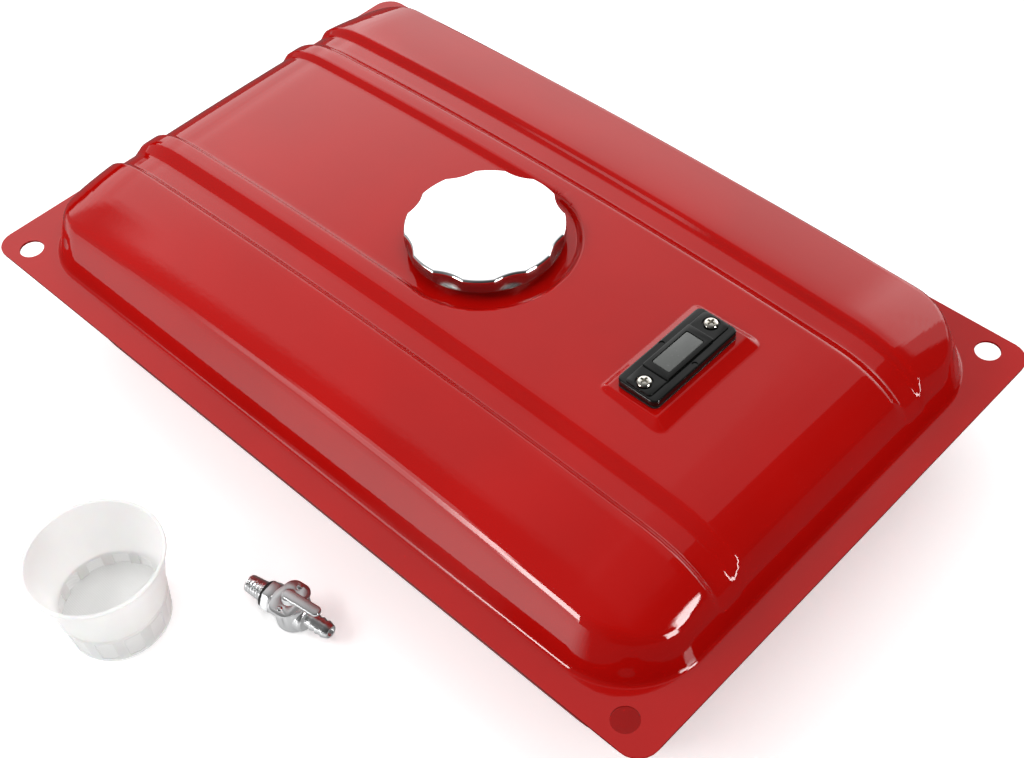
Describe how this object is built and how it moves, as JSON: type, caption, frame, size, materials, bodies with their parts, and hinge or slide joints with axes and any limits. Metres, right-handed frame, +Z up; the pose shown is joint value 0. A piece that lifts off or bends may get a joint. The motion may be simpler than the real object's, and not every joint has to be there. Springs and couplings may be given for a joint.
{
  "type": "generator fuel tank",
  "caption": "Flat steel fuel tank with a flanged seam, domed ribbed deck, scalloped twist cap, float gauge, and a loose filler strainer and fuel tap.",
  "frame": {"origin": "middle of the lower shell's flat underside", "axes": "+Z up through the filler cap, +X along the tank's length towards the gauge, -Y the front side where the strainer and the tap stand"},
  "size_m": [0.5, 0.4413, 0.1366],
  "materials": {
    "red_paint": "glossy",
    "zinc_steel": "satin",
    "chrome_shell": "polished",
    "black_plastic": "glossy",
    "clear_plastic": "clear",
    "grey_plastic": "matte",
    "milky_plastic": "satin",
    "black_rubber": "matte",
    "die_cast": "satin",
    "float_foam": "matte"
  },
  "bodies": {
    "tank": {"upper_shell": "red_paint", "lower_shell": "red_paint", "outlet_bung": "zinc_steel", "filler_neck": "zinc_steel", "gauge_housing": "black_plastic", "gauge_lens": "clear_plastic", "gauge_seal": "black_rubber", "gauge_bracket": "zinc_steel", "pivot_pin": "zinc_steel", "gauge_screw_1": "zinc_steel", "gauge_screw_2": "zinc_steel", "gauge_nut_1": "zinc_steel", "gauge_nut_2": "zinc_steel"},
    "cap_seal": {"cap_retainer": "zinc_steel", "cap_gasket": "black_rubber"},
    "cap": {"cap_shell": "chrome_shell", "cap_inner_cup": "zinc_steel", "cap_spring": "zinc_steel", "cap_rivet": "zinc_steel"},
    "float_gear": {"indicator_card": "grey_plastic", "float_arm": "zinc_steel", "float": "float_foam"},
    "strainer": {"strainer_basket": "milky_plastic", "strainer_mesh": "milky_plastic"},
    "fuel_tap": {"tap_body": "die_cast", "tap_washer": "black_rubber", "tap_seal": "black_rubber", "tap_cover": "zinc_steel", "tap_screw_1": "zinc_steel", "tap_screw_2": "zinc_steel"},
    "tap_handle": {"tap_lever": "die_cast"}
  },
  "joints": [
    {"name": "cap_lift", "type": "slide", "parent": "tank", "child": "cap_seal", "axis": [0, 0, 1], "range_m": [0, 0.06]},
    {"name": "cap_turn", "type": "hinge", "parent": "cap_seal", "child": "cap", "pos_m": [0.0045, 0, 0.13], "axis": [0, 0, -1], "range_deg": [0, 90]},
    {"name": "float_swing", "type": "hinge", "parent": "tank", "child": "float_gear", "pos_m": [0.137, 0, 0.104], "axis": [-1, 0, 0], "range_deg": [0, 60]},
    {"name": "strainer_lift", "type": "slide", "parent": "tank", "child": "strainer", "axis": [0, 0, 1], "range_m": [0, 0.1]},
    {"name": "tap_lift", "type": "slide", "parent": "tank", "child": "fuel_tap", "axis": [0, 0, 1], "range_m": [0, 0.1]},
    {"name": "tap_lever_turn", "type": "hinge", "parent": "fuel_tap", "child": "tap_handle", "pos_m": [0.03106, -0.18428, 0.02], "axis": [0, 0, 1], "range_deg": [0, 90]}
  ]
}
